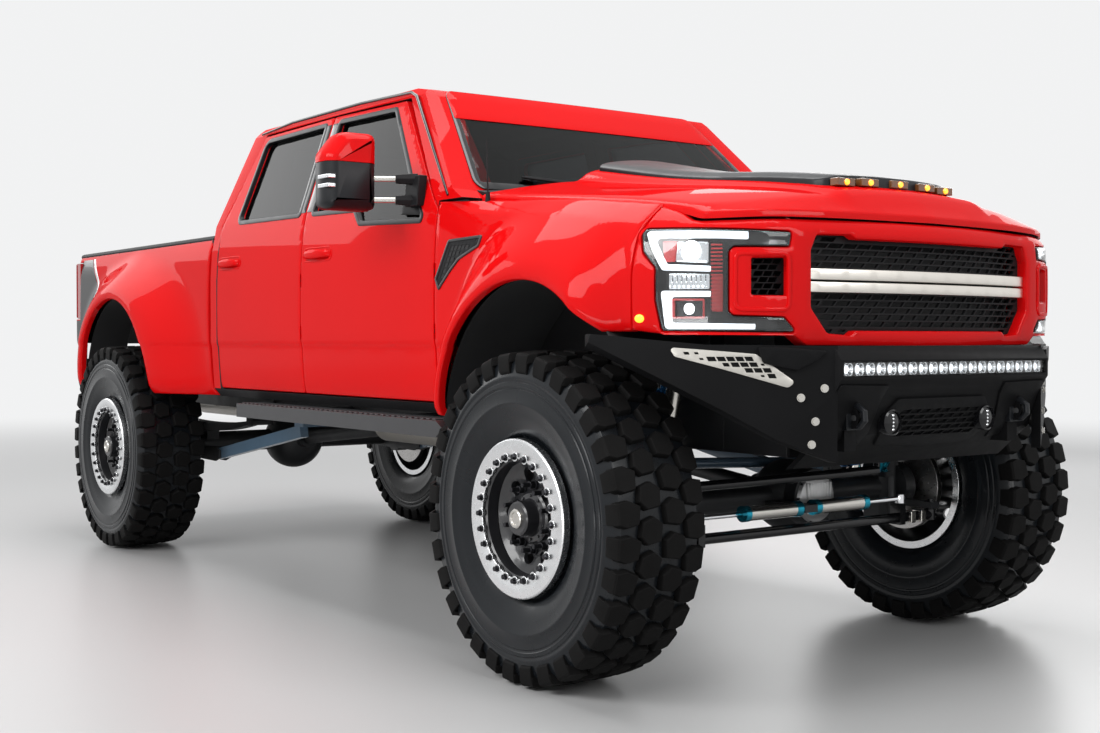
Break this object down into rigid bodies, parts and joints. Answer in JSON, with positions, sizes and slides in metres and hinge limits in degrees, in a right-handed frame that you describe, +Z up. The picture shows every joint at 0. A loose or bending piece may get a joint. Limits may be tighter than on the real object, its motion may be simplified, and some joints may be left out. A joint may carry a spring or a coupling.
{
  "type": "lifted crew cab pickup truck",
  "caption": "Lifted four-door pickup truck with wide flares, steel front bumper, open load bed and large block-tread tyres, with doors, hood, tailgate, steering and wheels that move.",
  "frame": {"origin": "centre of the overall box, at the floor under the wheels", "axes": "+X forward, +Y to the truck's left, +Z up"},
  "size_m": [6.17, 2.694, 2.405],
  "materials": {
    "body_paint": "gloss",
    "black_paint": "satin",
    "frame_paint": "satin",
    "link_paint": "satin",
    "tank_metal": "brushed",
    "axle_iron": "rough",
    "engine_iron": "rough",
    "shock_metal": "machined",
    "rim_metal": "machined",
    "bar_metal": "brushed",
    "exhaust_steel": "satin",
    "tyre_rubber": "matt",
    "black_plastic": "grained",
    "dash_plastic": "grained",
    "lamp_lens": "clear",
    "red_lens": "clear",
    "window_glass": "tinted",
    "seat_leather": "grained"
  },
  "bodies": {
    "root": {"frame_rails": "frame_paint", "crossmembers": "frame_paint", "shock_towers": "frame_paint", "radiator": "frame_paint", "cab_shell": "body_paint", "cab_glass": "window_glass", "dashboard": "dash_plastic", "seats": "seat_leather", "front_fenders": "body_paint", "grille_shell": "body_paint", "grille_mesh": "black_plastic", "grille_bars": "bar_metal", "headlamps": "lamp_lens", "front_bumper": "black_paint", "light_bar": "lamp_lens", "bed_sides": "body_paint", "bed_floor": "black_plastic", "rear_bumper": "black_paint", "tail_lamps": "red_lens", "running_boards": "black_plastic", "engine_block": "engine_iron", "driveline": "engine_iron", "fuel_tank": "tank_metal", "exhaust": "exhaust_steel", "leaf_springs": "axle_iron", "rear_axle": "axle_iron", "front_axle": "axle_iron", "suspension_links": "link_paint", "shocks": "shock_metal", "steering_gear": "frame_paint", "steering_dampers": "shock_metal"},
    "hood": {"hood": "body_paint", "hood_scoop": "black_paint"},
    "tailgate": {"tailgate": "body_paint"},
    "front_door_left": {"door_front_left": "body_paint", "door_glass_front_left": "window_glass", "mirror_left": "black_plastic"},
    "rear_door_left": {"door_rear_left": "body_paint", "door_glass_rear_left": "window_glass"},
    "knuckle_left": {"knuckle_left": "axle_iron"},
    "wheel_front_left": {"rim_front_left": "rim_metal", "tyre_front_left": "tyre_rubber"},
    "wheel_rear_left": {"rim_rear_left": "rim_metal", "tyre_rear_left": "tyre_rubber"},
    "front_door_right": {"door_front_right": "body_paint", "door_glass_front_right": "window_glass", "mirror_right": "black_plastic"},
    "rear_door_right": {"door_rear_right": "body_paint", "door_glass_rear_right": "window_glass"},
    "knuckle_right": {"knuckle_right": "axle_iron"},
    "wheel_front_right": {"rim_front_right": "rim_metal", "tyre_front_right": "tyre_rubber"},
    "wheel_rear_right": {"rim_rear_right": "rim_metal", "tyre_rear_right": "tyre_rubber"},
    "steering_rods": {"steering_rods": "frame_paint"},
    "damper_rods": {"damper_rods": "shock_metal"},
    "pitman_arm": {"pitman_arm": "frame_paint"},
    "steering_wheel": {"steering_wheel": "dash_plastic"}
  },
  "joints": [
    {"name": "steer_right", "type": "hinge", "parent": "root", "child": "knuckle_right", "pos_m": [2.18, -0.742, 0.58], "axis": [0, 0, 1], "range_deg": [-25, 25]},
    {"name": "steer_left", "type": "hinge", "parent": "root", "child": "knuckle_left", "pos_m": [2.18, 0.742, 0.58], "axis": [0, 0, 1], "range_deg": [-25, 25]},
    {"name": "tie_rod", "type": "hinge", "parent": "knuckle_right", "child": "steering_rods", "pos_m": [2.4, -0.742, 0.479], "axis": [0, 0, 1], "range_deg": [-25, 25]},
    {"name": "pitman", "type": "hinge", "parent": "root", "child": "pitman_arm", "pos_m": [2.24, 0.345, 0.76], "axis": [0, 0, 1], "range_deg": [-25, 25]},
    {"name": "damper_stroke", "type": "slide", "parent": "root", "child": "damper_rods", "axis": [0, 1, 0], "range_m": [-0.0935, 0.0935]},
    {"name": "hand_wheel", "type": "hinge", "parent": "root", "child": "steering_wheel", "pos_m": [0.985, 0.43, 1.6], "axis": [-0.9063, 0, 0.4226], "range_deg": [-400, 400]},
    {"name": "spin_front_left", "type": "hinge", "parent": "knuckle_left", "child": "wheel_front_left", "pos_m": [2.18, 1.002, 0.58], "axis": [0, 1, 0], "continuous": true},
    {"name": "spin_rear_left", "type": "hinge", "parent": "root", "child": "wheel_rear_left", "pos_m": [-1.94, 1.002, 0.58], "axis": [0, 1, 0], "continuous": true},
    {"name": "front_door_left", "type": "hinge", "parent": "root", "child": "front_door_left", "pos_m": [1.338, 0.992, 1.4], "axis": [0, 0, -1], "range_deg": [0, 65]},
    {"name": "rear_door_left", "type": "hinge", "parent": "root", "child": "rear_door_left", "pos_m": [0.157, 0.992, 1.4], "axis": [0, 0, -1], "range_deg": [0, 65]},
    {"name": "spin_front_right", "type": "hinge", "parent": "knuckle_right", "child": "wheel_front_right", "pos_m": [2.18, -1.002, 0.58], "axis": [0, 1, 0], "continuous": true},
    {"name": "spin_rear_right", "type": "hinge", "parent": "root", "child": "wheel_rear_right", "pos_m": [-1.94, -1.002, 0.58], "axis": [0, 1, 0], "continuous": true},
    {"name": "front_door_right", "type": "hinge", "parent": "root", "child": "front_door_right", "pos_m": [1.338, -0.992, 1.4], "axis": [0, 0, 1], "range_deg": [0, 65]},
    {"name": "rear_door_right", "type": "hinge", "parent": "root", "child": "rear_door_right", "pos_m": [0.157, -0.992, 1.4], "axis": [0, 0, 1], "range_deg": [0, 65]},
    {"name": "hood", "type": "hinge", "parent": "root", "child": "hood", "pos_m": [1.515, 0, 1.83], "axis": [0, -1, 0], "range_deg": [0, 48]},
    {"name": "tailgate", "type": "hinge", "parent": "root", "child": "tailgate", "pos_m": [-2.985, 0, 1.215], "axis": [0, -1, 0], "range_deg": [0, 90]}
  ],
  "couplings": [
    {"joint": "steer_left", "follows": "steer_right", "ratio": 1},
    {"joint": "tie_rod", "follows": "steer_right", "ratio": -1},
    {"joint": "pitman", "follows": "steer_right", "ratio": 1},
    {"joint": "damper_stroke", "follows": "steer_right", "m_per_rad": 0.2131},
    {"joint": "hand_wheel", "follows": "steer_right", "ratio": 15}
  ]
}
